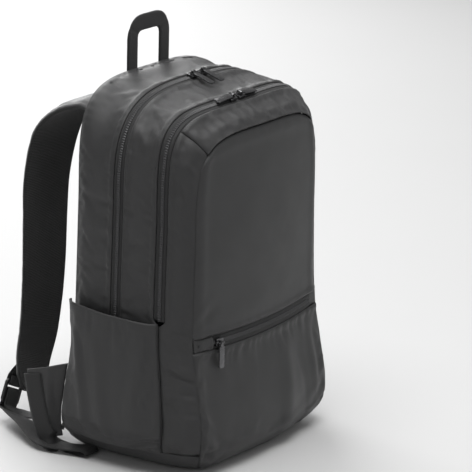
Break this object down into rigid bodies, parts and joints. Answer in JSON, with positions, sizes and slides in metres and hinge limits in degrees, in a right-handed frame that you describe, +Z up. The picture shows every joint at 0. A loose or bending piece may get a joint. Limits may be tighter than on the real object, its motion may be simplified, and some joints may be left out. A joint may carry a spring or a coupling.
{
  "type": "laptop backpack",
  "caption": "Upright soft backpack for a laptop, with zipped compartments, a zipped front pocket, open side pockets, padded shoulder straps and a webbing haul handle.",
  "frame": {"origin": "on the underside of the base, on the bag's middle plane between left and right", "axes": "+Z up, the front faces -Y, the back panel and shoulder straps face +Y, the wearer's left is -X"},
  "size_m": [0.3328, 0.3203, 0.5009],
  "materials": {
    "nylon": "plain-woven dark grey nylon, slightly shiny",
    "mesh": "matte black spacer mesh",
    "webbing": "woven webbing, matte",
    "lining": "thin grey-green lining cloth",
    "zip": "woven tape with a nylon coil",
    "metal": "gunmetal plated zinc",
    "plastic": "black acetal"
  },
  "bodies": {
    "bag": {"back_panel": "nylon", "base_panel": "nylon", "divider_panel": "lining", "front_left_slider": "metal", "front_lower_panel": "nylon", "front_right_slider": "metal", "front_upper_panel": "nylon", "front_zip_coil": "zip", "front_zip_tape": "zip", "haul_handle": "webbing", "laptop_sleeve": "lining", "main_left_slider": "metal", "main_right_slider": "metal", "main_zip_coil": "zip", "main_zip_tape": "zip", "middle_gusset": "nylon", "pocket_slider": "metal", "pocket_zip_coil": "zip", "pocket_zip_end_left": "nylon", "pocket_zip_end_right": "nylon", "pocket_zip_tape": "zip", "rear_gusset": "nylon", "shoulder_strap_left": "nylon", "shoulder_strap_right": "nylon", "side_panel_left": "nylon", "side_panel_right": "nylon", "side_pocket_left": "nylon", "side_pocket_right": "nylon", "side_strip_left": "nylon", "side_strip_right": "nylon", "strap_buckle_left": "plastic", "strap_buckle_right": "plastic", "strap_mesh_left": "mesh", "strap_mesh_right": "mesh", "strap_patch_left": "webbing", "strap_patch_right": "webbing", "strap_tab_left": "nylon", "strap_tab_right": "nylon", "strap_webbing_left": "webbing", "strap_webbing_right": "webbing", "top_band": "nylon"},
    "main_left_pull": {"main_left_pull": "metal"},
    "main_right_pull": {"main_right_pull": "metal"},
    "front_left_pull": {"front_left_pull": "metal"},
    "front_right_pull": {"front_right_pull": "metal"},
    "pocket_pull": {"pocket_pull": "metal"}
  },
  "joints": [
    {"name": "main_left_pull_hinge", "type": "hinge", "parent": "bag", "child": "main_left_pull", "pos_m": [-0.0072, 0.01072, 0.44178], "axis": [-1, 0.0032, -0.0007], "range_deg": [0, 140]},
    {"name": "main_right_pull_hinge", "type": "hinge", "parent": "bag", "child": "main_right_pull", "pos_m": [0.01221, 0.01074, 0.44177], "axis": [-1, -0.0054, 0.0025], "range_deg": [0, 140]},
    {"name": "front_left_pull_hinge", "type": "hinge", "parent": "bag", "child": "front_left_pull", "pos_m": [-0.01846, -0.05244, 0.42684], "axis": [0.0153, 0.9615, 0.2745], "range_deg": [0, 100]},
    {"name": "front_right_pull_hinge", "type": "hinge", "parent": "bag", "child": "front_right_pull", "pos_m": [-0.00216, -0.05258, 0.42684], "axis": [-0.0018, -0.9617, -0.2743], "range_deg": [0, 100]},
    {"name": "pocket_pull_hinge", "type": "hinge", "parent": "bag", "child": "pocket_pull", "pos_m": [-0.08666, -0.09261, 0.15483], "axis": [-0.9946, 0.095, 0.0423], "range_deg": [0, 140]}
  ]
}
